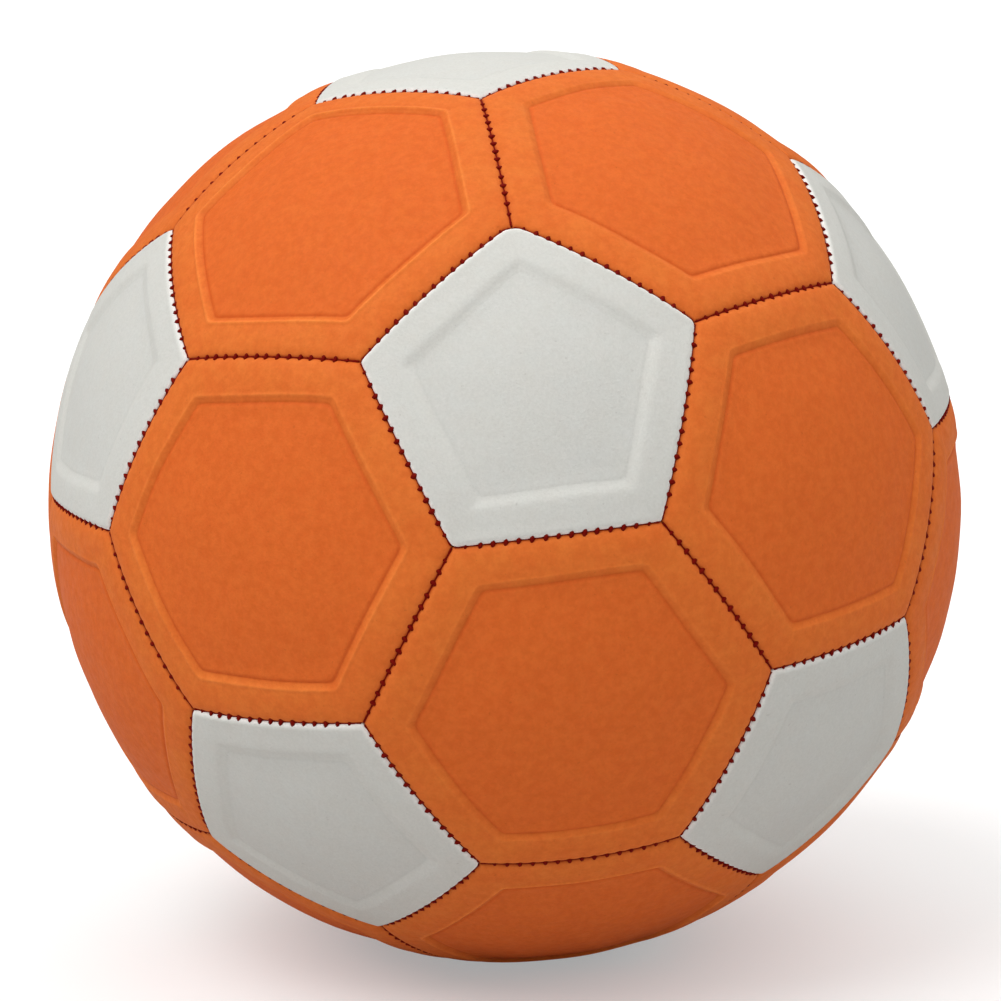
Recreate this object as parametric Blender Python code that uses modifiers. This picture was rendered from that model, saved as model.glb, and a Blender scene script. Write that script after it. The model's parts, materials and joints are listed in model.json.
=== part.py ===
"""A size 5 machine-stitched soccer ball: twelve white five-sided panels and twenty orange six-sided ones,
each padded and pressed in at its middle, sewn round a rubber bladder with a self-sealing valve. Metres, +Z
up, origin at the ball's centre."""

from math import pi, radians, sin, sqrt

import bmesh
import bpy
from mathutils import Euler, Matrix, Vector
from mathutils.geometry import intersect_point_line

MM = 0.001
TOUCH_GAP = 0.3 * MM
MERGE_DISTANCE = 0.01 * MM
SHARP_ANGLE = radians(35)

# The ball
BALL_RADIUS = 110 * MM
PATTERN_TURN = Euler((radians(5.1), radians(-4.7), radians(-11.6)))
VALVE_SIDE = Vector((-0.646, 0.736, -0.2))
SIDE_LENGTH_MARGIN = 1.01

# A panel: cover, foam and backing cloth pressed into one padded piece
PANEL_THICKNESS = 5.5 * MM
RIM_WIDTH = 8.6 * MM
STEP_WIDTH = 1.4 * MM
PRESSED_DEPTH = 0.9 * MM
SHOULDER_WIDTH = 3.6 * MM
SHOULDER_DROP = 0.75 * MM
CHANNEL_HALF_WIDTH = 0.8 * MM
CHANNEL_WALL = 1.0 * MM
CHANNEL_DEPTH = 2.1 * MM
SEAM_CUTS = 2
MIDDLE_RING = 8 * MM

# The sewing thread
THREAD_HALF_WIDTH = 0.35 * MM
THREAD_DEPTH = 1.3 * MM
THREAD_END_GAP = 1.6 * MM

# The bladder
BLADDER_RADIUS = 103.4 * MM
BLADDER_WALL = 1.0 * MM
BLADDER_SUBDIVISIONS = 3

# The valve, with heights measured from the ball's centre along the valve's axis
NECK_RADIUS = 4.7 * MM
NECK_TOP = 108.4 * MM
FLANGE_RADIUS = 15 * MM
FLANGE_FLAT_RADIUS = 7.5 * MM
FLANGE_TOP = 100.2 * MM
FLANGE_FALL = 1.3 * MM
FLANGE_THICKNESS = 1.2 * MM
STEM_RADIUS = 5.6 * MM
STEM_END = 92 * MM
STEM_CHAMFER = 1 * MM
CORE_RADIUS = 2.6 * MM
CORE_HEAD_RADIUS = 3.4 * MM
CORE_HEAD_HEIGHT = 1.2 * MM
CORE_TOP = 108.2 * MM
CORE_END = 90.5 * MM
NEEDLE_RADIUS = 1.1 * MM
NEEDLE_MOUTH_RADIUS = 1.65 * MM
NEEDLE_MOUTH_DEPTH = 1 * MM
LIP_LENGTH = 6 * MM
LIP_TIP_RADIUS = 1.1 * MM
LIP_HINGE_INSET = 0.2 * MM
LIP_GROOVE_LENGTH = 4.5 * MM
LIP_GROOVE_END_RADIUS = 0.1 * MM
PATCH_RADIUS = 16 * MM
PATCH_TOP = 104.3 * MM
PATCH_THICKNESS = 1.2 * MM
WEIGHT_RADIUS = 14 * MM
WEIGHT_FLAT_RADIUS = 7 * MM
TURNED_STEPS = 24

COLOURS = {
    "white_cover": ((0.78, 0.78, 0.74), 0.55),
    "orange_cover": ((0.86, 0.20, 0.035), 0.6),
    "maroon_thread": ((0.13, 0.012, 0.006), 0.7),
    "bladder_rubber": ((0.02, 0.02, 0.022), 0.5),
    "valve_rubber": ((0.035, 0.035, 0.038), 0.45),
    "core_rubber": ((0.09, 0.09, 0.095), 0.4),
    "patch_cloth": ((0.55, 0.53, 0.48), 0.9),
    "weight_rubber": ((0.06, 0.05, 0.045), 0.6),
}


def clear_scene():
    for obj in list(bpy.data.objects):
        bpy.data.objects.remove(obj, do_unlink=True)


def new_collection(name):
    collection = bpy.data.collections.new(name)
    bpy.context.scene.collection.children.link(collection)
    return collection


def make_material(name):
    colour, roughness = COLOURS[name]
    material = bpy.data.materials.new(name)
    material.use_nodes = True
    shader = material.node_tree.nodes["Principled BSDF"]
    shader.inputs["Base Color"].default_value = (*colour, 1)
    shader.inputs["Roughness"].default_value = roughness
    shader.inputs["Metallic"].default_value = 0
    return material


def add_object(name, mesh, collection, parent, matrix=None):
    obj = bpy.data.objects.new(name, mesh)
    collection.objects.link(obj)
    obj.parent = parent
    if matrix is not None:
        obj.matrix_local = matrix
    return obj


def frame_along(axis, towards):
    """A rotation that turns +Z to the axis and +Y to the side that faces towards."""
    z = axis.normalized()
    y = (towards - z * towards.dot(z)).normalized()
    return Matrix((y.cross(z), y, z)).transposed().to_4x4()


# The seam pattern


def seam_solid(radius):
    """The 32-sided solid whose edges are the ball's seams: an icosahedron with its points cut off a third
    of the way along its edges."""
    bm = bmesh.new()
    bmesh.ops.create_icosphere(bm, subdivisions=1, radius=1)
    third = bm.edges[:][0].calc_length() / 3
    bmesh.ops.bevel(bm, geom=bm.verts[:], offset=third, offset_type="OFFSET", affect="VERTICES", segments=1)
    for vert in bm.verts:
        vert.co = vert.co.normalized() * radius
    return bm


def panel_outlines():
    """The corners of each panel, on the ball's sphere."""
    bm = seam_solid(BALL_RADIUS)
    outlines = [[vert.co.copy() for vert in face.verts] for face in bm.faces]
    bm.free()
    return outlines


def middle(points):
    return sum(points, Vector()) / len(points)


def flat_panel(bm, sides, side_length):
    """A regular panel as one flat face across +Z, with its corners on the ball's sphere and its sides cut
    up."""
    corner_radius = side_length / (2 * sin(pi / sides))
    bmesh.ops.create_circle(bm, cap_ends=True, segments=sides, radius=corner_radius)
    bmesh.ops.translate(bm, verts=bm.verts, vec=(0, 0, sqrt(BALL_RADIUS**2 - corner_radius**2)))
    bmesh.ops.subdivide_edges(bm, edges=bm.edges[:], cuts=SEAM_CUTS)


def bent_sheet(sides, side_length, rings):
    """A panel's surface, as rings given by their distance from the seam and from the ball's centre."""
    bm = bmesh.new()
    flat_panel(bm, sides, side_length)
    seam_verts = bm.verts[:]
    inner = bm.faces[:][0]
    placed = []
    reached = 0
    for inset, radius in rings:
        bmesh.ops.inset_individual(bm, faces=[inner], thickness=inset - reached, use_even_offset=True)
        placed += [(vert, radius) for vert in inner.verts]
        reached = inset
    centre = bmesh.ops.poke(bm, faces=[inner])["verts"][0]
    placed.append((centre, rings[-1][1]))
    for vert, radius in placed:
        vert.co = vert.co.normalized() * radius
    bmesh.ops.delete(bm, geom=seam_verts, context="VERTS")
    return bm


def panel_mesh(name, sides, side_length, material):
    """A padded panel with rounded shoulders and a pressed middle, hollow side towards the ball's centre."""
    step_end = RIM_WIDTH + STEP_WIDTH
    pressed = BALL_RADIUS - PRESSED_DEPTH
    outside = [
        (TOUCH_GAP / 2, BALL_RADIUS - CHANNEL_DEPTH),
        (CHANNEL_HALF_WIDTH, BALL_RADIUS - CHANNEL_DEPTH),
        (CHANNEL_HALF_WIDTH + CHANNEL_WALL, BALL_RADIUS - SHOULDER_DROP),
        (SHOULDER_WIDTH, BALL_RADIUS),
        (RIM_WIDTH, BALL_RADIUS),
        (step_end, pressed),
        (step_end + MIDDLE_RING, pressed),
    ]
    back_radius = BALL_RADIUS - PANEL_THICKNESS
    back = [(inset, back_radius) for inset in (TOUCH_GAP / 2, step_end, step_end + MIDDLE_RING)]
    bm = bent_sheet(sides, side_length, outside)
    back_sheet = bent_sheet(sides, side_length, back)
    bmesh.ops.reverse_faces(back_sheet, faces=back_sheet.faces[:])
    mesh = bpy.data.meshes.new(name)
    back_sheet.to_mesh(mesh)
    back_sheet.free()
    bm.from_mesh(mesh)
    bmesh.ops.bridge_loops(bm, edges=[edge for edge in bm.edges if edge.is_boundary])
    bmesh.ops.translate(bm, verts=bm.verts, vec=(0, 0, -BALL_RADIUS))
    bmesh.ops.recalc_face_normals(bm, faces=bm.faces[:])
    bm.to_mesh(mesh)
    bm.free()
    mesh.materials.append(material)
    mesh.shade_smooth()
    mesh.set_sharp_from_angle(angle=SHARP_ANGLE)
    return mesh


def panel_place(outline):
    """Where a panel lies: its origin is on the ball's sphere at its middle, with +Y towards a corner."""
    centre = middle(outline)
    turn = frame_along(centre, outline[0])
    return Matrix.Translation(centre.normalized() * BALL_RADIUS) @ turn


def make_panels(outlines, valve_outline, parts, ball):
    side_length = (outlines[0][0] - outlines[0][1]).length
    white = panel_mesh("white_panel", 5, side_length, make_material("white_cover"))
    orange = panel_mesh("orange_panel", 6, side_length, make_material("orange_cover"))
    for colour, mesh, sides in (("white", white, 5), ("orange", orange, 6)):
        count = 0
        for outline in outlines:
            if len(outline) != sides or outline is valve_outline:
                continue
            count += 1
            add_object(f"{colour}_panel_{count:02}", mesh, parts, ball, panel_place(outline))
    return add_object("orange_valve_panel", orange.copy(), parts, ball, panel_place(valve_outline))


# The thread


def seams_to_share(whites):
    """The seams between two orange panels, each given to one of the two white panels whose corners it
    joins."""
    reach = SIDE_LENGTH_MARGIN * (whites[0][0] - whites[0][1]).length
    shared = [[] for _ in whites]
    for first, outline in enumerate(whites):
        for second in range(first + 1, len(whites)):
            for corner in outline:
                for other in whites[second]:
                    if (corner - other).length < reach:
                        ends = [(first, corner, other), (second, other, corner)]
                        owner, start, end = min(ends, key=lambda choice: len(shared[choice[0]]))
                        shared[owner].append((start, end))
    return shared


def seam_ribbons():
    """All the seams as narrow flat ribbons, cut up like the panels' sides: the faces that a bevel makes."""
    bm = seam_solid(BALL_RADIUS)
    bmesh.ops.subdivide_edges(bm, edges=bm.edges[:], cuts=SEAM_CUTS)
    made = bmesh.ops.bevel(
        bm, geom=bm.edges[:], offset=THREAD_HALF_WIDTH, offset_type="OFFSET", affect="EDGES", segments=1
    )
    ribbons = set(made["faces"])
    bmesh.ops.delete(bm, geom=[face for face in bm.faces if face not in ribbons], context="FACES")
    return bm


def off_line(point, line):
    """How far a point is from a stretch of straight line."""
    nearest, along = intersect_point_line(point, *line)
    return (point - line[0].lerp(line[1], min(max(along, 0), 1))).length


def thread_mesh(name, ribbons, sides, spurs, material):
    """One run of thread: round a white panel, and out along the seams between orange panels that start
    there. A spur stops short of the next run."""
    bm = ribbons.copy()
    trimmed = [(start, end + (start - end).normalized() * THREAD_END_GAP) for start, end in spurs]
    lines = sides + trimmed
    others = [
        face
        for face in bm.faces
        if min(off_line(face.calc_center_median(), line) for line in lines) > THREAD_HALF_WIDTH
    ]
    bmesh.ops.delete(bm, geom=others, context="FACES")
    for vert in bm.verts:
        for (start, end), (_, stop) in zip(spurs, trimmed):
            if (vert.co - end).length < THREAD_END_GAP:
                vert.co += stop - end
        vert.co = vert.co.normalized() * (BALL_RADIUS - THREAD_DEPTH - THREAD_HALF_WIDTH)
    grown = bmesh.ops.extrude_face_region(bm, geom=bm.faces[:])["geom"]
    for vert in grown:
        if isinstance(vert, bmesh.types.BMVert):
            vert.co = vert.co.normalized() * (BALL_RADIUS - THREAD_DEPTH + THREAD_HALF_WIDTH)
    bmesh.ops.recalc_face_normals(bm, faces=bm.faces[:])
    mesh = bpy.data.meshes.new(name)
    bm.to_mesh(mesh)
    bm.free()
    mesh.materials.append(material)
    return mesh


def make_threads(outlines, parts, ball):
    whites = [outline for outline in outlines if len(outline) == 5]
    material = make_material("maroon_thread")
    ribbons = seam_ribbons()
    for number, (outline, spurs) in enumerate(zip(whites, seams_to_share(whites)), 1):
        name = f"seam_thread_{number:02}"
        sides = list(zip(outline, outline[1:] + outline[:1]))
        add_object(name, thread_mesh(name, ribbons, sides, spurs, material), parts, ball)
    ribbons.free()


# The bladder and the valve


def turned_mesh(name, profile, material):
    """A ring-shaped solid turned about +Z from a closed profile of (radius, height), outer side first,
    downwards."""
    bm = bmesh.new()
    verts = [bm.verts.new((radius, 0, height)) for radius, height in profile]
    for number, vert in enumerate(verts):
        bm.edges.new((vert, verts[(number + 1) % len(verts)]))
    mesh = bpy.data.meshes.new(name)
    bm.to_mesh(mesh)
    bm.free()
    mesh.materials.append(material)
    return mesh


def add_turned(name, profile, material, parts, valve):
    obj = add_object(name, turned_mesh(name, profile, material), parts, valve)
    screw = obj.modifiers.new("Turn", "SCREW")
    screw.steps = TURNED_STEPS
    screw.render_steps = TURNED_STEPS
    screw.use_merge_vertices = True
    screw.merge_threshold = MERGE_DISTANCE
    screw.use_smooth_shade = False
    return obj


def add_cutter(name, bottom_radius, bottom, top_radius, top, cutters, valve):
    """A round or tapered cutter about the valve's axis, between two heights."""
    mesh = bpy.data.meshes.new(name)
    bm = bmesh.new()
    bmesh.ops.create_cone(
        bm,
        cap_ends=True,
        segments=TURNED_STEPS,
        radius1=bottom_radius,
        radius2=top_radius,
        depth=top - bottom,
    )
    bm.to_mesh(mesh)
    bm.free()
    cutter = add_object(name, mesh, cutters, valve, Matrix.Translation((0, 0, (top + bottom) / 2)))
    cutter.hide_render = True
    cutter.display_type = "WIRE"
    return cutter


def cut(obj, cutter):
    modifier = obj.modifiers.new(cutter.name, "BOOLEAN")
    modifier.operation = "DIFFERENCE"
    modifier.solver = "EXACT"
    modifier.object = cutter


def make_bladder(parts, ball, hole_cutter):
    mesh = bpy.data.meshes.new("bladder")
    bm = bmesh.new()
    bmesh.ops.create_icosphere(bm, subdivisions=BLADDER_SUBDIVISIONS, radius=BLADDER_RADIUS)
    bm.to_mesh(mesh)
    bm.free()
    mesh.materials.append(make_material("bladder_rubber"))
    mesh.shade_smooth()
    bladder = add_object("bladder", mesh, parts, ball)
    wall = bladder.modifiers.new("Wall", "SOLIDIFY")
    wall.thickness = BLADDER_WALL
    wall.offset = -1
    cut(bladder, hole_cutter)


def housing_profile():
    """The valve's rubber housing: neck, flange bonded inside the bladder, and stem, with a bore for the
    core."""
    bore = CORE_RADIUS + TOUCH_GAP
    head_bore = CORE_HEAD_RADIUS + TOUCH_GAP
    head_floor = CORE_TOP - CORE_HEAD_HEIGHT - TOUCH_GAP
    flange_edge = FLANGE_TOP - FLANGE_FALL
    return [
        (NECK_RADIUS, NECK_TOP),
        (NECK_RADIUS, FLANGE_TOP),
        (FLANGE_FLAT_RADIUS, FLANGE_TOP),
        (FLANGE_RADIUS, flange_edge),
        (FLANGE_RADIUS, flange_edge - FLANGE_THICKNESS / 2),
        (STEM_RADIUS, FLANGE_TOP - FLANGE_THICKNESS),
        (STEM_RADIUS, STEM_END + STEM_CHAMFER),
        (STEM_RADIUS - STEM_CHAMFER, STEM_END),
        (bore, STEM_END),
        (bore, head_floor),
        (head_bore, head_floor),
        (head_bore, NECK_TOP),
    ]


def core_profile():
    """The plug that is pushed into the housing, with the channel that the pump's needle passes."""
    return [
        (CORE_HEAD_RADIUS, CORE_TOP),
        (CORE_HEAD_RADIUS, CORE_TOP - CORE_HEAD_HEIGHT),
        (CORE_RADIUS, CORE_TOP - CORE_HEAD_HEIGHT),
        (CORE_RADIUS, CORE_END),
        (NEEDLE_RADIUS, CORE_END),
        (NEEDLE_RADIUS, CORE_TOP - NEEDLE_MOUTH_DEPTH),
        (NEEDLE_MOUTH_RADIUS, CORE_TOP),
    ]


def patch_profile():
    """The cloth ring that strengthens the valve panel's back round the hole."""
    bottom = PATCH_TOP - PATCH_THICKNESS
    hole = NECK_RADIUS + TOUCH_GAP
    return [(PATCH_RADIUS, PATCH_TOP), (PATCH_RADIUS, bottom), (hole, bottom), (hole, PATCH_TOP)]


def make_lip(name, side, material, groove_cutter, parts, valve):
    """One of the two rubber lips at the core's inner end, which the needle pushes apart as it slides down
    the groove between them. Its origin is on the line that it bends about, at its root by the outer
    edge."""
    half_gap = TOUCH_GAP / 2
    root = CORE_END - TOUCH_GAP
    hinge = Vector((side * (CORE_RADIUS - LIP_HINGE_INSET), 0, root))
    bm = bmesh.new()
    bmesh.ops.create_cone(
        bm,
        cap_ends=True,
        segments=TURNED_STEPS,
        radius1=LIP_TIP_RADIUS,
        radius2=CORE_RADIUS,
        depth=LIP_LENGTH,
    )
    bmesh.ops.translate(bm, verts=bm.verts, vec=(0, 0, root - LIP_LENGTH / 2))
    sliced = bmesh.ops.bisect_plane(
        bm,
        geom=bm.verts[:] + bm.edges[:] + bm.faces[:],
        plane_co=(side * half_gap, 0, 0),
        plane_no=(side, 0, 0),
        clear_inner=True,
    )
    slit_edges = [item for item in sliced["geom_cut"] if isinstance(item, bmesh.types.BMEdge)]
    bmesh.ops.edgenet_fill(bm, edges=slit_edges)
    bmesh.ops.recalc_face_normals(bm, faces=bm.faces[:])
    bmesh.ops.translate(bm, verts=bm.verts, vec=-hinge)
    mesh = bpy.data.meshes.new(name)
    bm.to_mesh(mesh)
    bm.free()
    mesh.materials.append(material)
    cut(add_object(name, mesh, parts, valve, Matrix.Translation(hinge)), groove_cutter)


def make_balance_weight(parts, ball, valve_axis):
    """The rubber disc bonded inside the bladder opposite the valve, which balances the valve's weight."""
    flip = frame_along(-valve_axis, Vector((0, 0, 1)))
    edge = FLANGE_TOP - FLANGE_FALL
    profile = [
        (WEIGHT_RADIUS, edge),
        (WEIGHT_RADIUS, edge - FLANGE_THICKNESS),
        (0, FLANGE_TOP - 2 * FLANGE_THICKNESS),
        (0, FLANGE_TOP),
        (WEIGHT_FLAT_RADIUS, FLANGE_TOP),
    ]
    weight = add_turned("balance_weight", profile, make_material("weight_rubber"), parts, ball)
    weight.matrix_local = flip


def main():
    clear_scene()
    parts = new_collection("soccer_ball")
    cutters = new_collection("cutters")
    ball = add_object("ball_centre", None, parts, None, PATTERN_TURN.to_matrix().to_4x4())
    outlines = panel_outlines()
    wanted = PATTERN_TURN.to_matrix().inverted() @ VALVE_SIDE
    oranges = [outline for outline in outlines if len(outline) == 6]
    valve_outline = max(oranges, key=lambda outline: middle(outline).dot(wanted))
    valve_axis = middle(valve_outline).normalized()
    valve = add_object("valve_axis", None, parts, ball, frame_along(valve_axis, valve_outline[0]))

    hole_radius = NECK_RADIUS + TOUCH_GAP
    hole_top = BALL_RADIUS + MM
    hole_cutter = add_cutter("neck_hole", hole_radius, STEM_END, hole_radius, hole_top, cutters, valve)
    pocket_radius = PATCH_RADIUS + TOUCH_GAP
    pocket_top = PATCH_TOP + TOUCH_GAP
    pocket_cutter = add_cutter(
        "patch_pocket", pocket_radius, STEM_END, pocket_radius, pocket_top, cutters, valve
    )
    groove_end = CORE_END - LIP_GROOVE_LENGTH
    groove_cutter = add_cutter(
        "lip_groove", LIP_GROOVE_END_RADIUS, groove_end, NEEDLE_RADIUS, CORE_END, cutters, valve
    )

    valve_panel = make_panels(outlines, valve_outline, parts, ball)
    cut(valve_panel, hole_cutter)
    cut(valve_panel, pocket_cutter)
    make_threads(outlines, parts, ball)
    make_bladder(parts, ball, hole_cutter)
    add_turned("valve_housing", housing_profile(), make_material("valve_rubber"), parts, valve)
    core_rubber = make_material("core_rubber")
    add_turned("valve_core", core_profile(), core_rubber, parts, valve)
    make_lip("valve_lip_a", 1, core_rubber, groove_cutter, parts, valve)
    make_lip("valve_lip_b", -1, core_rubber, groove_cutter, parts, valve)
    add_turned("valve_patch", patch_profile(), make_material("patch_cloth"), parts, valve)
    make_balance_weight(parts, ball, valve_axis)


main()
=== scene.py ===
"""The looks of the soccer ball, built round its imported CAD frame: foam-backed covers with a pressed middle and
edges that the stitches pull in, the twisted thread that sews them together, the rubber valve, and a plain studio.
Everything is in metres."""

import json
from math import asin, atan2, cos, pi, radians, sin, sqrt, tan

import bpy
import numpy as np
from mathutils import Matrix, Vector


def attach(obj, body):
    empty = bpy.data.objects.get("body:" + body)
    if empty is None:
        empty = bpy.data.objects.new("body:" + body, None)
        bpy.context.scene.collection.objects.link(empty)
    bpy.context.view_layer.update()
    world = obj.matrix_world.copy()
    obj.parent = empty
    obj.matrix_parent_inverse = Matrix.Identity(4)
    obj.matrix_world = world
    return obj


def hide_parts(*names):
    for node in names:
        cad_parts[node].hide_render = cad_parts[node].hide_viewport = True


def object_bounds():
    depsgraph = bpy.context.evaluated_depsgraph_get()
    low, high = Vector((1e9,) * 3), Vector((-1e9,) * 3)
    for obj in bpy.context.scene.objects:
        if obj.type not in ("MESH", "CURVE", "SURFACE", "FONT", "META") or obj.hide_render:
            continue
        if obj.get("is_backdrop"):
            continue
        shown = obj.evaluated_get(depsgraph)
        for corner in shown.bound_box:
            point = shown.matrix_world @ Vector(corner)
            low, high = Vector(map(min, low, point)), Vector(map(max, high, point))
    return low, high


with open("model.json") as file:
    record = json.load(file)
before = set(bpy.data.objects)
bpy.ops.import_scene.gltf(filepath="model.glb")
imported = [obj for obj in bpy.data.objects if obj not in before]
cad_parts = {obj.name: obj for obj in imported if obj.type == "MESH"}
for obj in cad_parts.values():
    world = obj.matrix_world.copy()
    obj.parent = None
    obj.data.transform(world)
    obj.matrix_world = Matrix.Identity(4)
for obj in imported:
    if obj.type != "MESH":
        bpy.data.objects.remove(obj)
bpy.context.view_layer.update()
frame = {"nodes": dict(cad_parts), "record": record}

MM = 0.001
VALVE_PANEL = "orange_valve_panel"

# The seam pattern: how long a seam is for a ball of radius 1, and the cosine above which two directions are the same
SEAM_SHARE = 4 / sqrt(58 + 18 * sqrt(5))
SAME_DIRECTION = 0.9999

# A cover, across its edge. Insets are measured from the seam, heights from the ball's sphere. Where there are two
# values, 5 is for the white covers, which have five sides, and 6 for the orange ones
SEAM_GAP = 0.08 * MM
WALL_FOOT = -3.2 * MM
COVER_BACK = -5.5 * MM
EDGE_WIDTH = {5: 1.5 * MM, 6: 1.9 * MM}
EDGE_DROP = {5: 1.1 * MM, 6: 0.82 * MM}
EDGE_PROUD = {5: 0.34 * MM, 6: 0.0}
EDGE_PROUD_WIDTH = 2.2 * MM
CORNER_PULL = 0.25 * MM
CORNER_PULL_WIDTH = 1 * MM
CORNER_REACH = 2.2 * MM
RIM_WIDTH = 8.3 * MM
RIM_CROWN = {5: 0.18 * MM, 6: 0.3 * MM}
PRESSED_DEPTH = {5: 0.9 * MM, 6: 0.72 * MM}
WALL_START = {5: -1.3 * MM, 6: -0.3 * MM}
WALL_END = {5: 1.7 * MM, 6: 1.5 * MM}
DISH_SHARE = {5: 0.3, 6: 0.12}
DISH_WIDTH = 6 * MM
# How far from the seam the painted highlight on the white edges and the painted shade on the orange edges reach
EDGE_PAINTED_LIGHT_WIDTH = {5: 0.68 * MM, 6: 0.36 * MM}
RIDGE_HEIGHT = {5: (0.0, 0.04 * MM), 6: (0.04 * MM, 0.32 * MM)}
RIDGE_WIDTH = 0.42 * MM
CREASE_DEPTH = {5: 0.03 * MM, 6: 0.13 * MM}
CREASE_WIDTH = 0.3 * MM
# How wide the painted shade in the crease round the pressed middle is
CREASE_PAINTED_SHADE_WIDTH = 0.42 * MM
LIP_HEIGHT = {5: 0.0, 6: 0.09 * MM}
LIP_INSET = 1.05 * MM
LIP_WIDTH = 0.55 * MM
BULGE = 0.45 * MM
BULGE_WIDTH = 16 * MM

# How each pressed middle is off its place: shifted to one side and a little out of shape
PRESSED_ROUNDING = 0.35 * MM
PRESSED_SHIFT = 0.35 * MM
PRESSED_SHIFT_SHARES = (0.2, 1)
PRESSED_WOBBLE = 0.12 * MM
PRESSED_WAVES = (2, 3, 5)
PRESSED_OFF_START = 2 * MM
PRESSED_OFF_RUN = 5 * MM
PRESSED_TINT_RUN = 0.6 * MM
COVER_SEED = 2913

# The slow unevenness of the foam
SWELL = 0.1 * MM
SWELL_LENGTHS = (14 * MM, 42 * MM)
SWELL_WAVES = 7
SWELL_START = 4 * MM

# The valve's hole: how far out from its wall and how far down its lip each ring is, in mm, and the room left round
# the valve's neck and over the patch
HOLE_LIP = ((0.55, 0.04), (0.25, 0.16), (0.07, 0.36), (0.0, 0.7))
HOLE_CLEARANCE = 0.3 * MM
HOLE_MARGIN = 1 * MM
PATCH_CLEARANCE = 0.3 * MM
PATCH_MARGIN = 1 * MM

# How far the sewing rounds off each white corner, and how far round it that reaches
CORNER_ROUNDING = (0.5 * MM, 4.4 * MM)
CORNER_DRAW_REACH = 3.0 * MM
CORNER_SEED = 1983

# Where the cover's mesh has its rings, as insets from the seam in mm. Further in they are shares of the way from the
# middle, each with the number of places round the cover that share one point
EDGE_RINGS = (0.08, 0.14, 0.24, 0.38, 0.55, 0.75, 1.0, 1.3, 1.65, 2.2)
RIM_RINGS = (3.0, 4.0, 5.2, 6.2, 6.9, 7.4)
STEP_RINGS = (7.7, 7.95, 8.15, 8.32, 8.5, 8.7, 8.9, 9.1, 9.27, 9.4, 9.51, 9.62, 9.73, 9.85, 10, 10.2, 10.4)
DISH_RINGS = (10.65, 10.95, 11.4, 12.2, 13.2)
MIDDLE_RINGS = ((0.95, 2), (0.88, 2), (0.79, 4), (0.69, 4), (0.58, 8), (0.46, 8), (0.33, 16), (0.2, 16), (0.09, 16))
SIDE_CUTS = 96
FAR_IN = 30 * MM
HALVINGS = 34

# Where the stitches are, and how their sizes and slants differ. The last ones before a corner are smaller
STITCHES = 15
STITCH_PITCH = 2.76 * MM
STITCH_JITTER = 0.13 * MM
STITCH_SIZES = (0.9, 1.08)
END_STITCH_SIZE = 0.62
END_STITCH_START = 0.8
END_STITCH_RUN = 1.6
STITCH_SLANT = 0.3
SLANT_WAYS = (-0.35, 1.0)
SLANT_SHARES = (0.6, 1.1)

# How the stitches dent the covers
STITCH_PULL = {5: 0.1 * MM, 6: 0.35 * MM}
STITCH_PULL_WIDTH = {5: 0.0, 6: 0.3 * MM}
STITCH_PULL_LENGTH = 0.6 * MM
STITCH_DIP = {5: 0.12 * MM, 6: 0.0}
STITCH_DIP_WIDTH = 0.75 * MM
MOST_PULL = 1.1

# A stitch: for each ring, how far it is from the middle and how thick the thread is there, as shares. Beside a white
# cover it is shifted towards the orange one, lifted, and leans up over the white one. Elsewhere it is a little finer
STITCH_RINGS = (
    (-1.12, 0.35), (-1.0, 0.75), (-0.8, 0.96), (-0.5, 1.0), (-0.17, 1.0),
    (0.17, 1.0), (0.5, 1.0), (0.8, 0.96), (1.0, 0.75), (1.12, 0.35),
)
STITCH_REACH = 0.7 * MM
STITCH_REACH_LEAST = 0.55
STITCH_RADIUS = 0.5 * MM
STITCH_FINER = 0.94
STITCH_HEIGHT = -0.44 * MM
STITCH_DIVE = 0.35 * MM
SMALL_STITCH_DROP = 0.15 * MM
STITCH_SHIFT = 0.18 * MM
STITCH_LIFT = 0.1 * MM
STITCH_LEAN = 0.33

# The cord of thread along the seam, and the twist of all thread
CORD_RADIUS = 0.26 * MM
CORD_HEIGHT = -0.68 * MM
CORD_STEP = 0.4 * MM
CORD_MARGIN = 0.5 * MM
CORD_WAVE = 0.05 * MM
TWIST_LENGTH = 1.6 * MM
PLIES = 3
PLY_DEPTH = 0.13
THREAD_AROUND = 12

# The valve's turned pieces
ROUNDING_STEPS = 5
TURNED_CUTS = 96
SAME_TURN = radians(1)

# The surfaces: between which values nearly all of a noise lies, and how large and how deep each pattern is
MOST_NOISE = (0.3, 0.7)
ALL_NOISE = (0.25, 0.75)
SPECK_NOISE = (0.745, 0.785)
CLOUD_SIZE = 9 * MM
BLOTCH_SIZE = 1.9 * MM
TINT_SIZE = 3.4 * MM
FLECK_SIZE = 0.6 * MM
FLECK_TONE = (0.94, 0.94, 0.94)
SPECK_SIZE = 0.9 * MM
SPECK_TONE = (0.7, 0.68, 0.68)
# The patches of the painted highlight and painted shade along the seam
EDGE_PAINTED_LIGHT_PATCH_SIZE = 1.6 * MM
GLOSS_PATCH_SIZE = 3 * MM
COVER_ROUGHNESS = (0.62, 0.74)
GRAIN_CELL = 0.5 * MM
GRAIN_DEPTH = 0.03 * MM
FINE_GRAIN_SIZE = 0.22 * MM
FINE_GRAIN_DEPTH = 0.035 * MM
COARSE_GRAIN_SIZE = 1.3 * MM
COARSE_GRAIN_DEPTH = 0.07 * MM
FIBRE_SIZE = 0.09 * MM
FIBRE_DEPTH = 0.05 * MM
FADED_SIZE = 6 * MM
BLOOM_SIZE = 4 * MM
RUBBER_GRAIN_SIZE = 0.25 * MM
WEAVE_SIZE = 2.4 * MM
WEAVE_DEPTH = 0.2 * MM
SLUB_SIZE = 2 * MM

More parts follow.
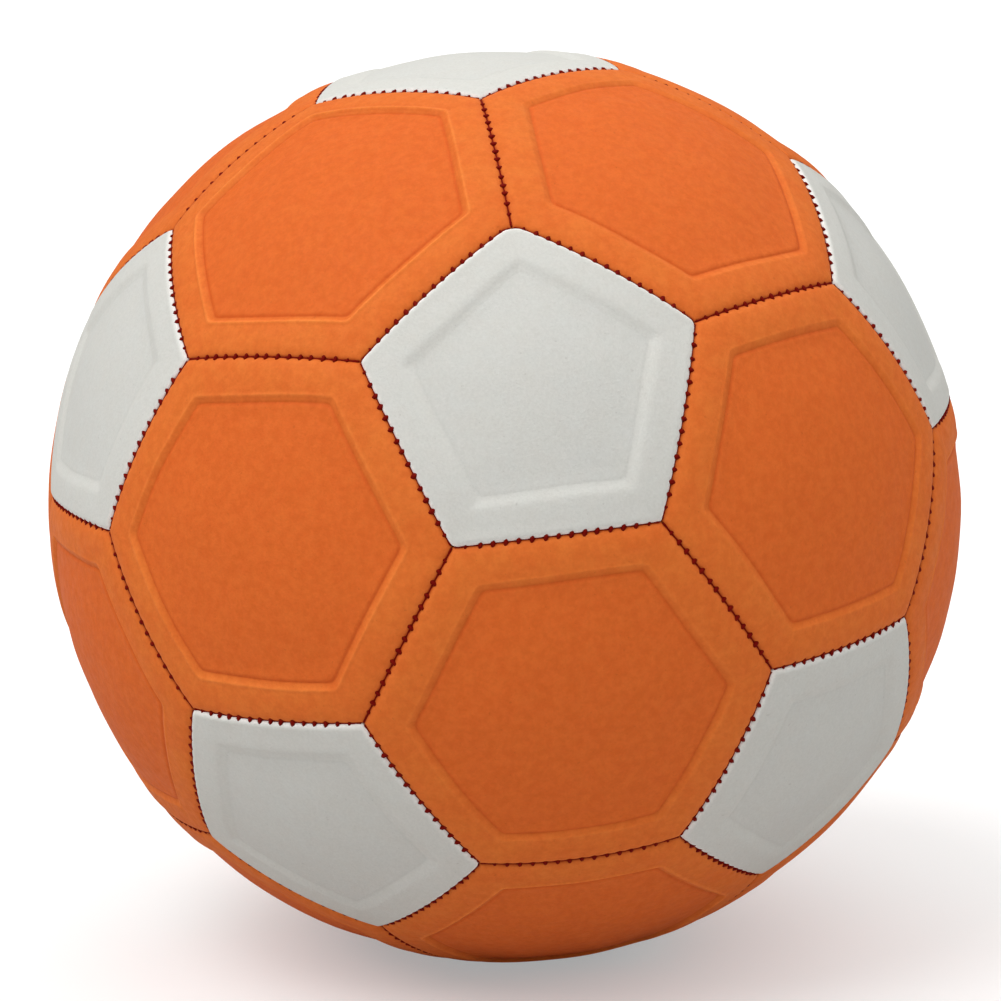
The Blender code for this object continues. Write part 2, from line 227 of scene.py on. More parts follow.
# The camera, with its distance in radii of the ball, and the studio
CAMERA_ELEVATION = radians(10)
CAMERA_DISTANCE = 6.5
LENS = 105.4
SENSOR_WIDTH = 36
SHIFT = (-0.0055, 0.0045)
FLOOR_HALF_SIZE = 60
FLOOR_LIFT = 0.36
HORIZON_LIGHT = 0.12
ZENITH_LIGHT = 0.62
SUNS = (
    ("key", (-0.52, -0.34, 0.78), 1.75, radians(45)),
    ("fill", (0.3, -0.08, 0.95), 1.5, radians(100)),
)


# Small helpers


def unit(vectors):
    vectors = np.asarray(vectors, float)
    return vectors / np.linalg.norm(vectors, axis=-1, keepdims=True)


def smooth(t):
    t = np.clip(t, 0, 1)
    return t * t * (3 - 2 * t)


def new_mesh_object(name, points, faces, material, attributes=()):
    mesh = bpy.data.meshes.new(name)
    mesh.from_pydata(points.tolist(), [], faces)
    mesh.shade_smooth()
    mesh.materials.append(material)
    for label, values in attributes:
        attribute = mesh.attributes.new(label, "FLOAT", "POINT")
        attribute.data.foreach_set("value", values.astype(np.float32))
    obj = bpy.data.objects.new(name, mesh)
    bpy.context.scene.collection.objects.link(obj)
    return obj


def ring_faces(first, first_count, second, second_count):
    """The faces between two closed rings of points, given by their first index and count. The counts are equal, or
    one is twice the other."""
    faces = []
    if first_count == second_count:
        for i in range(first_count):
            j = (i + 1) % first_count
            faces.append((first + i, first + j, second + j, second + i))
    elif first_count > second_count:
        for i in range(second_count):
            j = (i + 1) % second_count
            a, b, c = first + 2 * i, first + 2 * i + 1, first + (2 * i + 2) % first_count
            faces += [(a, b, second + i), (b, second + j, second + i), (b, c, second + j)]
    else:
        for i in range(first_count):
            j = (i + 1) % first_count
            a, b, c = second + 2 * i, second + 2 * i + 1, second + (2 * i + 2) % second_count
            faces += [(first + i, b, a), (first + i, first + j, b), (first + j, c, b)]
    return faces


# What is measured on the CAD frame


def node_points(name):
    """The different points of a CAD node's mesh."""
    mesh = frame["nodes"][name].data
    points = np.zeros(len(mesh.vertices) * 3)
    mesh.vertices.foreach_get("co", points)
    return np.unique(points.reshape(-1, 3).round(6), axis=0)


def valve_axis():
    mounts = {mount["name"]: mount for mount in frame["record"]["mounts"]}
    return np.array(mounts["valve_face"]["axis"], float)


def valve_frame():
    """The valve's own frame: +Z out along its axis."""
    axis = valve_axis()
    aside = unit(np.cross(axis, (0, 0, 1)))
    return np.array((aside, np.cross(axis, aside), axis))


def measure_turned(name):
    """The radius and the height of each point of a turned CAD node, in the valve's frame."""
    points = node_points(name) @ valve_frame().T
    return np.hypot(points[:, 0], points[:, 1]), points[:, 2]


panel_names = sorted(name for name in frame["nodes"] if "_panel" in name)
RADIUS = max(np.linalg.norm(node_points(name), axis=1).max() for name in panel_names)

patch_radii, patch_heights = measure_turned("valve_patch")
PATCH_TOP = float(patch_heights.max())
PATCH_RADIUS = float(patch_radii.max())

housing_radii, housing_heights = measure_turned("valve_housing")
neck = housing_heights > housing_heights.max() - MM
NECK_RADIUS = float(housing_radii[neck].max())


# The seam pattern


class Seam:
    """One seam between two panels, with the places, sizes and slants of its stitches. The white side is the side on
    which a white panel lies, or 0."""

    def __init__(self, start, end, seed):
        self.start = start
        self.end = end
        self.middle = unit(start + end)
        self.length = 2 * asin(np.linalg.norm(end - start) / 2) * RADIUS
        rng = np.random.default_rng(seed)
        number = np.arange(STITCHES) - (STITCHES - 1) / 2
        self.places = self.length / 2 + number * STITCH_PITCH + rng.normal(0, STITCH_JITTER, STITCHES)
        near_end = np.minimum(self.places, self.length - self.places) / STITCH_PITCH
        growth = smooth((near_end - END_STITCH_START) / END_STITCH_RUN)
        self.sizes = (END_STITCH_SIZE + (1 - END_STITCH_SIZE) * growth) * rng.uniform(*STITCH_SIZES, STITCHES)
        self.slant = STITCH_SLANT * rng.choice(SLANT_WAYS) * rng.uniform(*SLANT_SHARES, STITCHES)
        self.white_side = 0

    def point(self, along):
        """The direction of the point this far along the seam."""
        turn = np.asarray(along)[..., None] / RADIUS
        sideways = unit(self.end - self.start * np.dot(self.start, self.end))
        return self.start * np.cos(turn) + sideways * np.sin(turn)

    def pull(self, along, side):
        """How strongly the stitches pull in the edge on one side of the seam. Side 1 is the panel that the seam runs
        round anticlockwise, and side -1 is the other."""
        holes = self.places + side * self.slant * STITCH_REACH
        off = (np.asarray(along)[:, None] - holes) / STITCH_PULL_LENGTH
        return np.clip((self.sizes * np.exp(-(off**2))).sum(1), 0, MOST_PULL)


class Panel:
    """One panel's place in the pattern: its axis, its corners and the seams round it, anticlockwise from outside."""

    def __init__(self, name):
        points = node_points(name)
        self.name = name
        self.sides = 5 if name.startswith("white") else 6
        self.axis = unit(unit(points).mean(0))
        if name == VALVE_PANEL:
            self.axis = unit(valve_axis())
        flat = points - np.outer(points @ self.axis, self.axis)
        corner = flat[np.linalg.norm(flat, axis=1).argmax()]
        self.up = unit(corner)
        self.right = np.cross(self.up, self.axis)
        chord = SEAM_SHARE / (2 * sin(pi / self.sides))
        self.side_angle = atan2(chord * cos(pi / self.sides), sqrt(1 - chord**2))
        turns = pi / 2 + 2 * pi * np.arange(self.sides) / self.sides
        self.side_turns = turns + pi / self.sides
        self.corners = self.direction(np.full(self.sides, asin(chord)), turns)
        self.seams = []

    def direction(self, polar, turn):
        """The direction at an angle from the axis, turned about it from the panel's right."""
        across = np.cos(turn)[..., None] * self.right + np.sin(turn)[..., None] * self.up
        return np.sin(polar)[..., None] * across + np.cos(polar)[..., None] * self.axis

    def inset(self, polar, turn):
        """How far a direction is from the nearest seam. Further in, a line of equal distance has round corners."""
        across = np.cos(turn[..., None] - self.side_turns) * np.sin(polar)[..., None]
        depth = sin(self.side_angle) * np.cos(polar)[..., None] - cos(self.side_angle) * across
        distances = RADIUS * np.arcsin(np.clip(depth, -1, 1))
        nearest = distances.min(-1)
        rounding = np.maximum(PRESSED_ROUNDING * smooth(nearest / RIM_WIDTH), MM / 1000)
        others = np.exp(-(distances - nearest[..., None]) / rounding[..., None]).sum(-1)
        return nearest - rounding * np.log(others)

    def polar_at(self, inset, turn, outermost):
        """The angle from the axis at which the inset has a given value, found by halving."""
        low = np.zeros(np.broadcast(inset, turn).shape)
        high = low + outermost
        turn = low + turn
        for _ in range(HALVINGS):
            middle = (low + high) / 2
            too_far_in = self.inset(middle, turn) > inset
            low = np.where(too_far_in, middle, low)
            high = np.where(too_far_in, high, middle)
        return (low + high) / 2


def find_seams(panels):
    """Every seam once, with each panel given its own seams in order."""
    seams = []
    for panel in panels:
        for number, start in enumerate(panel.corners):
            end = panel.corners[(number + 1) % panel.sides]
            middle = unit(start + end)
            shared = [seam for seam in seams if seam.middle @ middle > SAME_DIRECTION]
            if not shared:
                shared = [Seam(start, end, len(seams))]
                seams += shared
            side = 1 if shared[0].start @ start > SAME_DIRECTION else -1
            if panel.sides == 5:
                shared[0].white_side = side
            panel.seams.append((shared[0], side))
    return seams


def find_corner_draws(panels):
    """Where each white corner is, which way lies inwards and sideways from it, half its angle, and how far it is
    rounded off."""
    rng = np.random.default_rng(CORNER_SEED)
    draws = []
    for panel in panels:
        if panel.sides == 5:
            for number, corner in enumerate(panel.corners):
                inwards = unit(panel.axis - corner * (corner @ panel.axis))
                to_next = panel.corners[(number + 1) % panel.sides] - corner
                half_angle = np.arccos(unit(to_next - corner * (corner @ to_next)) @ inwards)
                rounding = CORNER_ROUNDING[0] + (CORNER_ROUNDING[1] - CORNER_ROUNDING[0]) * rng.random() ** 3
                draws.append((corner * RADIUS, inwards, np.cross(corner, inwards), half_angle, rounding))
    return draws


def draw_corners(points, near):
    """Moves the points round the white corners that lie at any of these directions, so that each is an arc."""
    moved = points.copy()
    for place, inwards, sideways, half_angle, rounding in corner_draws:
        if any(place @ corner > SAME_DIRECTION * RADIUS for corner in near):
            beside = np.abs((points - place) @ sideways)
            past_seam = (points - place) @ inwards - beside / tan(half_angle)
            arc = rounding / sin(half_angle) - beside / tan(half_angle)
            arc -= np.sqrt(np.clip(rounding**2 - beside**2, 0, None))
            on_arc = beside < rounding * cos(half_angle)
            shift = np.where(on_arc, arc, 0) * np.exp(-((past_seam / CORNER_DRAW_REACH) ** 2))
            moved += shift[:, None] * inwards
    return moved


# The covers


def swell(directions, seed):
    """How far the foam lifts the cover in each direction."""
    rng = np.random.default_rng(seed)
    total = np.zeros(directions.shape[:-1])
    for _ in range(SWELL_WAVES):
        wave = unit(rng.normal(size=3)) * 2 * pi / rng.uniform(*SWELL_LENGTHS)
        total += np.sin(directions @ wave * RADIUS + rng.uniform(0, 2 * pi))
    return SWELL * total / sqrt(SWELL_WAVES)


def cover_height(inset, pull, sides, ridge_height):
    """The height of the cover's surface over the ball's sphere, from the seam to the pressed middle."""
    edge = np.clip(1 - inset / (EDGE_WIDTH[sides] + STITCH_PULL_WIDTH[sides] * pull), 0, 1)
    rounded = -(EDGE_DROP[sides] + STITCH_PULL[sides] * pull) * (1 - np.sqrt(1 - edge**2))
    rounded -= STITCH_DIP[sides] * pull * np.exp(-((inset / STITCH_DIP_WIDTH) ** 2))
    proud = EDGE_PROUD[sides] * np.exp(-((inset / EDGE_PROUD_WIDTH) ** 2))
    crown = RIM_CROWN[sides] * np.sin(pi * np.clip(inset / RIM_WIDTH, 0, 1))
    past = inset - RIM_WIDTH
    ridge = ridge_height * np.exp(-((past / RIDGE_WIDTH) ** 2))
    wall = smooth((past - WALL_START[sides]) / (WALL_END[sides] - WALL_START[sides]))
    dish = smooth((past - WALL_START[sides]) / DISH_WIDTH)
    fall = PRESSED_DEPTH[sides] * (wall * (1 - DISH_SHARE[sides]) + dish * DISH_SHARE[sides])
    crease = CREASE_DEPTH[sides] * np.exp(-(((past - WALL_END[sides]) / CREASE_WIDTH) ** 2))
    lip = LIP_HEIGHT[sides] * np.exp(-(((past - WALL_END[sides] - LIP_INSET) / LIP_WIDTH) ** 2))
    bulge = BULGE * smooth((past - WALL_END[sides] - LIP_INSET) / BULGE_WIDTH)
    return rounded + proud + crown + ridge - fall - crease + lip + bulge


def make_cover(panel, material, seed, hole=None):
    """A closed foam-backed cover: its back, a wall up the seam, and its surface from the seam to the middle. The
    valve's panel has a round hole of a given radius, with a rounded lip."""
    rng = np.random.default_rng(COVER_SEED + seed)
    fractions = np.arange(SIDE_CUTS) / SIDE_CUTS
    along = []
    pulls = []
    corner_drops = []
    for seam, side in panel.seams:
        distance = fractions * seam.length
        own = distance if side == 1 else seam.length - distance
        along.append(seam.point(own))
        pulls.append(seam.pull(own, side))
        to_corner = np.minimum(distance, seam.length - distance)
        corner_drops.append(np.exp(-((to_corner / CORNER_REACH) ** 2)))
    edge = np.concatenate(along)
    pull = np.concatenate(pulls)
    corner_drop = np.concatenate(corner_drops)
    turn = np.arctan2(edge @ panel.up, edge @ panel.right)
    outermost = np.arccos(edge @ panel.axis)

    ridge_height = rng.uniform(*RIDGE_HEIGHT[panel.sides])
    shift_turn = rng.uniform(0, 2 * pi)
    wobble_turns = rng.uniform(0, 2 * pi, len(PRESSED_WAVES))
    offset = PRESSED_SHIFT * rng.uniform(*PRESSED_SHIFT_SHARES) * np.cos(turn - shift_turn)
    for waves, wobble_turn in zip(PRESSED_WAVES, wobble_turns):
        offset = offset + PRESSED_WOBBLE * np.sin(waves * turn + wobble_turn)

    rings = []
    for inset in (*EDGE_RINGS, *RIM_RINGS, *STEP_RINGS, *DISH_RINGS):
        inset *= MM
        moved = inset + offset * smooth((inset - PRESSED_OFF_START) / PRESSED_OFF_RUN)
        polar = panel.polar_at(moved, turn, outermost)
        height = cover_height(inset, pull, panel.sides, ridge_height)
        height = height - CORNER_PULL * corner_drop * np.exp(-inset / CORNER_PULL_WIDTH)
        rings.append((turn, polar, height, inset))
    last_polar = rings[-1][1]
    inner = 0 if hole is None else asin((hole + HOLE_MARGIN) / RADIUS)
    for share, skip in MIDDLE_RINGS:
        polar = inner + (last_polar - inner) * share
        inset = panel.inset(polar, turn)
        height = cover_height(inset, np.zeros_like(inset), panel.sides, ridge_height)
        rings.append((turn[::skip], polar[::skip], height[::skip], inset[::skip]))

    points, faces, starts, pressed, edges, crease_painted_shade, ridge_painted_highlight = [], [], [], [], [], [], []

    def add_ring(directions, radius, inset):
        """Adds a ring of points, with what the material needs to know at each."""
        starts.append((sum(len(ring) for ring in points), len(directions)))
        points.append(directions * np.broadcast_to(radius, len(directions))[:, None])
        inset = np.broadcast_to(inset, len(directions))
        past = inset - RIM_WIDTH
        pressed.append(smooth((past - WALL_END[panel.sides]) / PRESSED_TINT_RUN + 0.5))
        # The edge attribute: where the painted highlight on white edges and the painted shade on orange edges go
        edges.append(np.exp(-((inset / EDGE_PAINTED_LIGHT_WIDTH[panel.sides]) ** 2)))
        # The crease attribute: where painted shade darkens the crease round the pressed middle
        crease_painted_shade.append(np.exp(-(((past - WALL_END[panel.sides]) / CREASE_PAINTED_SHADE_WIDTH) ** 2)))
        # The ridge attribute: where a painted highlight lightens the ridge, the stronger the higher the ridge
        ridge_painted_highlight.append(np.exp(-((past / RIDGE_WIDTH) ** 2)) * ridge_height / RIDGE_HEIGHT[6][1])

    back = RADIUS + COVER_BACK
    wall = panel.polar_at(SEAM_GAP, turn, outermost)
    inner = 0 if hole is None else asin(hole / RADIUS)
    for share, skip in (*reversed(MIDDLE_RINGS), (1.0, 1)):
        polar = wall if share == 1.0 else (inner + (outermost - inner) * share)[::skip]
        radius = np.full(len(polar), back)
        if hole is not None:
            over_patch = np.sin(polar) * back < PATCH_RADIUS + PATCH_MARGIN
            radius = np.where(over_patch, (PATCH_TOP + PATCH_CLEARANCE) / np.cos(polar), radius)
        add_ring(panel.direction(polar, turn[::skip]), radius, 0)
    add_ring(panel.direction(wall, turn), RADIUS + WALL_FOOT, 0)
    for ring_turn, ring_polar, height, inset in rings:
        directions = panel.direction(ring_polar, ring_turn)
        add_ring(directions, RADIUS + height + swell(directions, seed) * smooth(inset / SWELL_START), inset)

    for (first, first_count), (second, second_count) in zip(starts, starts[1:]):
        faces += ring_faces(first, first_count, second, second_count)
    if hole is None:
        for ring, (first, size), way in ((points[0], starts[0], -1), (points[-1], starts[-1], 1)):
            add_ring(panel.axis[None], np.linalg.norm(ring, axis=1).mean(), FAR_IN)
            for i in range(size):
                spoke = (first + i, first + (i + 1) % size)
                faces.append((*spoke[::way], starts[-1][0]))
    else:
        lip_turn = turn[:: MIDDLE_RINGS[-1][1]]
        lip_height = np.linalg.norm(points[-1], axis=1).mean()
        for out, down in HOLE_LIP:
            polar = np.full(len(lip_turn), asin((hole + out * MM) / RADIUS))
            add_ring(panel.direction(polar, lip_turn), lip_height - down * MM, FAR_IN)
            faces += ring_faces(*starts[-2], *starts[-1])
        faces += ring_faces(*starts[-1], *starts[0])
    points = draw_corners(np.concatenate(points), panel.corners)
    # The edge, crease and ridge attributes place painted light and shade for the material
    labels = {"pressed": pressed, "edge": edges, "crease": crease_painted_shade, "ridge": ridge_painted_highlight}
    attributes = [(label, np.concatenate(values)) for label, values in labels.items()]
    return new_mesh_object(f"{panel.name}.cover", points, faces, material, attributes)


# The thread


def twisted_tube(line, radii, up):
    """A closed tube of twisted plies along a line of points, with a flat cap at each end."""
    along = unit(np.gradient(line, axis=0))
    side = unit(np.cross(along, up))
    over = np.cross(side, along)
    around = 2 * pi * np.arange(THREAD_AROUND) / THREAD_AROUND
    length = np.concatenate(([0], np.linalg.norm(np.diff(line, axis=0), axis=1).cumsum()))
    lobes = 1 + PLY_DEPTH * np.cos(PLIES * (around[None] - 2 * pi * length[:, None] / TWIST_LENGTH))
    reach = radii[:, None] * lobes
    ring = np.cos(around)[None, :, None] * side[:, None] + np.sin(around)[None, :, None] * over[:, None]
    points = (line[:, None] + reach[:, :, None] * ring).reshape(-1, 3)
    faces = []
    for number in range(len(line) - 1):
        faces += ring_faces((number + 1) * THREAD_AROUND, THREAD_AROUND, number * THREAD_AROUND, THREAD_AROUND)
    faces.append(tuple(range(THREAD_AROUND)))
    faces.append(tuple(reversed(range(len(points) - THREAD_AROUND, len(points)))))
    return points, faces


def stitch_parts(seam):
    """The short slanting bars of thread that cross a seam."""
    parts = []
    reach, thickness = np.transpose(STITCH_RINGS)
    for place, size, slant in zip(seam.places, seam.sizes, seam.slant):
        centre = seam.point(place)
        along = unit(seam.point(place + MM) - centre)
        across = np.cross(centre, along)
        if not seam.white_side:
            size *= STITCH_FINER
        half = STITCH_REACH * (STITCH_REACH_LEAST + (1 - STITCH_REACH_LEAST) * size)
        sideways = reach * half - STITCH_SHIFT * seam.white_side
        lengthways = reach * slant * half
        height = STITCH_HEIGHT - STITCH_DIVE * reach**4 - SMALL_STITCH_DROP * (1 - size)
        height = height + STITCH_LIFT * abs(seam.white_side) + STITCH_LEAN * seam.white_side * sideways
        line = centre * (RADIUS + height[:, None]) + across * sideways[:, None] + along * lengthways[:, None]
        parts.append((line, STITCH_RADIUS * size * thickness, centre))
    return parts


def cord_part(seam):
    """The thread that runs along inside the seam, under its stitches."""
    count = int(seam.length / CORD_STEP)
    along = np.linspace(CORD_MARGIN, seam.length - CORD_MARGIN, count)
    directions = seam.point(along)
    waves = CORD_WAVE * np.sin(2 * pi * along / STITCH_PITCH)
    line = directions * (RADIUS + CORD_HEIGHT + waves)[:, None]
    return line, np.full(count, CORD_RADIUS), unit(np.cross(seam.start, seam.end))


def make_thread(name, seams, material):
    """One run of thread, with all the stitches and cords of its seams."""
    points, faces, count = [], [], 0
    for seam in seams:
        for line, radii, up in [*stitch_parts(seam), cord_part(seam)]:
            line = draw_corners(line, (seam.start, seam.end))
            tube, tube_faces = twisted_tube(line, radii, up)
            points.append(tube)
            faces += [tuple(count + i for i in face) for face in tube_faces]
            count += len(tube)
    return new_mesh_object(f"{name}.stitches", np.concatenate(points), faces, material)


def thread_of(seam, thread_points):
    """The CAD thread that runs along a seam."""
    thirds = [seam.point(seam.length * share / 3) * RADIUS for share in (1, 2)]

    def distance(name):
        points = thread_points[name]
        return sum(np.linalg.norm(points - third, axis=1).min() for third in thirds)

    return min(thread_points, key=distance)


# Materials


class Nodes:
    """A short way to build a material's nodes."""

    def __init__(self, name):
        self.material = bpy.data.materials.new(name)
        self.material.use_nodes = True
        self.tree = self.material.node_tree
        self.shader = self.tree.nodes["Principled BSDF"]

    def add(self, kind, settings=None, **inputs):
        node = self.tree.nodes.new(f"ShaderNode{kind}")
        for key, value in (settings or {}).items():
            setattr(node, key, value)
        for key, value in inputs.items():
            self.feed(node, key.replace("_", " "), value)
        return node

    def feed(self, node, key, value):
        socket = node.inputs[int(key)] if key.isdigit() else node.inputs[key]
        if isinstance(value, bpy.types.NodeSocket):
            self.tree.links.new(value, socket)
        else:
            socket.default_value = value

    def place(self):
        return self.add("TexCoord").outputs["Object"]

    def noise(self, size, detail=2.0, roughness=0.5):
        node = self.add("TexNoise", Vector=self.place(), Scale=1 / size, Detail=detail, Roughness=roughness)
        return node.outputs["Fac"]

    def attribute(self, label):
        return self.add("Attribute", {"attribute_name": label}).outputs["Fac"]

    def spread(self, value, low, high, to_low=0.0, to_high=1.0):
        node = self.add("MapRange", {"interpolation_type": "SMOOTHSTEP"}, Value=value)
        for key, number in (("From Min", low), ("From Max", high), ("To Min", to_low), ("To Max", to_high)):
            node.inputs[key].default_value = number
        return node.outputs["Result"]

    def maths(self, operation, first, second):
        node = self.add("Math", {"operation": operation})
        self.feed(node, "0", first)
        self.feed(node, "1", second)
        return node.outputs[0]

    def mix(self, share, first, second, blend="MIX"):
        node = self.add("Mix", {"data_type": "RGBA", "blend_type": blend})
        self.feed(node, "0", share)
        self.feed(node, "6", first)
        self.feed(node, "7", second)
        return node.outputs[2]

    def bump(self, height, distance, normal=None):
        node = self.add("Bump", Height=height, Distance=distance, Strength=1.0)
        if normal is not None:
            self.feed(node, "Normal", normal)
        return node.outputs["Normal"]

    def shade(self, **inputs):
        for key, value in inputs.items():
            self.feed(self.shader, key.replace("_", " "), value)


def cover_material(name, rim, pressed, deep, blotch, tint, crease, ridge, edge):
    """Soft-touch foamed cover: a fine leather-like grain, an uneven tone, small specks, and tones of their own for
    the rim and the pressed middle. On top of these come painted shade in the crease round the pressed middle, a
    painted highlight on the ridge beside that, and, along the seam where the edge turns down, a painted highlight on
    the white covers and painted shade on the orange ones."""
    nodes = Nodes(name)

    def tinted(share, tone):
        return nodes.mix(share, base, nodes.mix(1.0, base, (*tone, 1), "MULTIPLY"))

    base = nodes.mix(nodes.attribute("pressed"), (*rim, 1), (*pressed, 1))
    cloudy = nodes.spread(nodes.noise(CLOUD_SIZE, 3), *MOST_NOISE, 0.0, 0.5)
    base = nodes.mix(cloudy, base, (*deep, 1))
    for tone, size, detail in ((blotch, BLOTCH_SIZE, 2), (tint, TINT_SIZE, 2), (FLECK_TONE, FLECK_SIZE, 3)):
        base = tinted(nodes.spread(nodes.noise(size, detail, 0.6), *MOST_NOISE), tone)
    base = tinted(nodes.spread(nodes.noise(SPECK_SIZE, 1), *SPECK_NOISE, 0.0, 0.4), SPECK_TONE)
    # Painted shade: darkens the crease round the pressed middle
    base = tinted(nodes.attribute("crease"), crease)
    # Painted highlight: lightens the ridge beside the crease
    base = tinted(nodes.attribute("ridge"), ridge)
    # Along the seam, where the edge turns down: a patchy painted highlight on the white covers, painted shade on the
    # orange ones
    patchy_painted_light = nodes.spread(nodes.noise(EDGE_PAINTED_LIGHT_PATCH_SIZE, 3), *ALL_NOISE, 0.65, 1.0)
    base = tinted(nodes.maths("MULTIPLY", nodes.attribute("edge"), patchy_painted_light), edge)
    cells = nodes.add(
        "TexVoronoi",
        {"feature": "SMOOTH_F1"},
        Vector=nodes.place(),
        Scale=1 / GRAIN_CELL,
        Smoothness=0.6,
    )
    normal = nodes.bump(cells.outputs["Distance"], GRAIN_DEPTH)
    normal = nodes.bump(nodes.noise(FINE_GRAIN_SIZE, 3, 0.65), FINE_GRAIN_DEPTH, normal)
    normal = nodes.bump(nodes.noise(COARSE_GRAIN_SIZE, 2), COARSE_GRAIN_DEPTH, normal)
    rough = nodes.spread(nodes.noise(GLOSS_PATCH_SIZE, 4), *ALL_NOISE, *COVER_ROUGHNESS)
    nodes.shade(Base_Color=base, Roughness=rough, Normal=normal, Specular_IOR_Level=0.09)
    return nodes.material


def thread_material(name):
    """Waxed maroon sewing thread with single fibres showing."""
    nodes = Nodes(name)
    fibres = nodes.noise(FIBRE_SIZE, 3, 0.7)
    base = nodes.mix(nodes.spread(fibres, *MOST_NOISE), (0.12, 0.0012, 0.0004, 1), (0.2, 0.004, 0.001, 1))
    faded = nodes.spread(nodes.noise(FADED_SIZE, 2), 0.45, 0.75, 0, 0.35)
    base = nodes.mix(faded, base, (0.24, 0.01, 0.002, 1))
    nodes.shade(Base_Color=base, Roughness=nodes.spread(fibres, 0.2, 0.8, 0.5, 0.75))
    nodes.shade(Normal=nodes.bump(fibres, FIBRE_DEPTH), Specular_IOR_Level=0.05)
    return nodes.material


def rubber_material(name, dark, light, roughness):
    """Moulded rubber: a slightly cloudy tone with pale bloom and a fine satin grain."""
    nodes = Nodes(name)
    bloom = nodes.spread(nodes.noise(BLOOM_SIZE, 4, 0.6), 0.35, 0.7)
    base = nodes.mix(bloom, (*dark, 1), (*light, 1))
    grain = nodes.noise(RUBBER_GRAIN_SIZE, 3)
    rough = nodes.spread(grain, *ALL_NOISE, roughness - 0.08, roughness + 0.1)
    nodes.shade(Base_Color=base, Roughness=rough, Normal=nodes.bump(grain, GRAIN_DEPTH))
    return nodes.material


def cloth_material(name):
    """Plain-woven backing cloth: two sets of threads that cross, with slubs."""
    nodes = Nodes(name)
    heights = []
    for direction in ("X", "Z"):
        wave = nodes.add(
            "TexWave",
            {"bands_direction": direction},
            Vector=nodes.place(),
            Scale=1 / WEAVE_SIZE,
            Distortion=0.6,
            Detail=1.0,
        )
        heights.append(wave.outputs["Fac"])
    weave = nodes.maths("MAXIMUM", *heights)
    tone = nodes.mix(weave, (0.34, 0.31, 0.26, 1), (0.62, 0.6, 0.54, 1))
    base = nodes.mix(nodes.spread(nodes.noise(SLUB_SIZE, 3), *MOST_NOISE, 0, 0.4), tone, (0.5, 0.46, 0.4, 1))
    nodes.shade(Base_Color=base, Roughness=nodes.spread(weave, 0, 1, 0.95, 0.8))
    nodes.shade(Normal=nodes.bump(weave, WEAVE_DEPTH))
    return nodes.material


def floor_material(name):
    """A matt pale studio floor that the camera sees a little paler than it lights the ball."""
    nodes = Nodes(name)
    lifted = nodes.maths("MULTIPLY", nodes.add("LightPath").outputs["Is Camera Ray"], FLOOR_LIFT)
    nodes.shade(Base_Color=(0.65, 0.648, 0.645, 1), Roughness=0.9, Specular_IOR_Level=0.1)
    nodes.shade(Emission_Color=(1, 1, 1, 1), Emission_Strength=lifted)
    return nodes.material


# The valve


def turned_profile(name):
    """The closed outline of (radius, height) corners that a CAD node was turned from, outer side downwards."""
    mesh = frame["nodes"][name].data
    local = np.array([vertex.co for vertex in mesh.vertices]) @ valve_frame().T
    turns = np.arctan2(local[:, 1], local[:, 0])
    first = turns[np.hypot(local[:, 0], local[:, 1]).argmax()]
    keys = [(round(float(np.hypot(x, y)), 6), round(float(z), 6)) for x, y, z in local]
    beside = {}
    for start, end in (edge.vertices for edge in mesh.edges):
        on_outline = max(abs(turns[start] - first), abs(turns[end] - first)) < SAME_TURN
        if on_outline and keys[start] != keys[end]:
            beside.setdefault(keys[start], set()).add(keys[end])
            beside.setdefault(keys[end], set()).add(keys[start])
    start = max(beside, key=lambda key: (key[1], key[0]))
    outline = [start, min(beside[start], key=lambda key: key[1])]
    while True:
        onwards = [key for key in beside[outline[-1]] if key not in outline[-2:]]
        if not onwards or onwards[0] == start:
            return np.array(outline)
        outline.append(onwards[0])


def rounded_profile(outline, size):
    """The outline with each corner rounded, by less where its sides are short."""
    rounded = []
    for number, corner in enumerate(outline):
        before = outline[number - 1] - corner
        after = outline[(number + 1) % len(outline)] - corner
        reach = min(size, np.linalg.norm(before) / 3, np.linalg.norm(after) / 3)
        start = corner + unit(before) * reach
        end = corner + unit(after) * reach
        for share in np.linspace(0, 1, ROUNDING_STEPS):
            rounded.append(start * (1 - share) ** 2 + corner * 2 * share * (1 - share) + end * share**2)
    return rounded


def turned_piece(node, rounding, material):
    """A smooth piece with rounded edges in the place of a turned CAD node."""
    aside, over, axis = valve_frame()
    turn = 2 * pi * np.arange(TURNED_CUTS) / TURNED_CUTS
    circle = np.cos(turn)[:, None] * aside + np.sin(turn)[:, None] * over
    profile = rounded_profile(turned_profile(node), rounding)
    points = np.concatenate([circle * radius + axis * height for radius, height in profile])
    faces = []
    for number in range(len(profile)):
        following = (number + 1) % len(profile)
        faces += ring_faces(following * TURNED_CUTS, TURNED_CUTS, number * TURNED_CUTS, TURNED_CUTS)
    piece = new_mesh_object(f"{node}.turned", points, faces, material)
    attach(piece, "ball")
    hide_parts(node)


# The studio


def make_camera():
    data = bpy.data.cameras.new("camera")
    data.lens = LENS
    data.sensor_width = SENSOR_WIDTH
    data.shift_x, data.shift_y = SHIFT
    camera = bpy.data.objects.new("camera", data)
    bpy.context.scene.collection.objects.link(camera)
    back = Vector((0, -cos(CAMERA_ELEVATION), sin(CAMERA_ELEVATION)))
    camera.location = back * CAMERA_DISTANCE * RADIUS
    camera.rotation_euler = back.to_track_quat("Z", "Y").to_euler()
    bpy.context.scene.camera = camera


def make_sun(name, towards, strength, spread):
    data = bpy.data.lights.new(name, "SUN")
    data.energy = strength
    data.angle = spread
    light = bpy.data.objects.new(name, data)
    bpy.context.scene.collection.objects.link(light)
    light.rotation_euler = Vector(towards).to_track_quat("Z", "Y").to_euler()


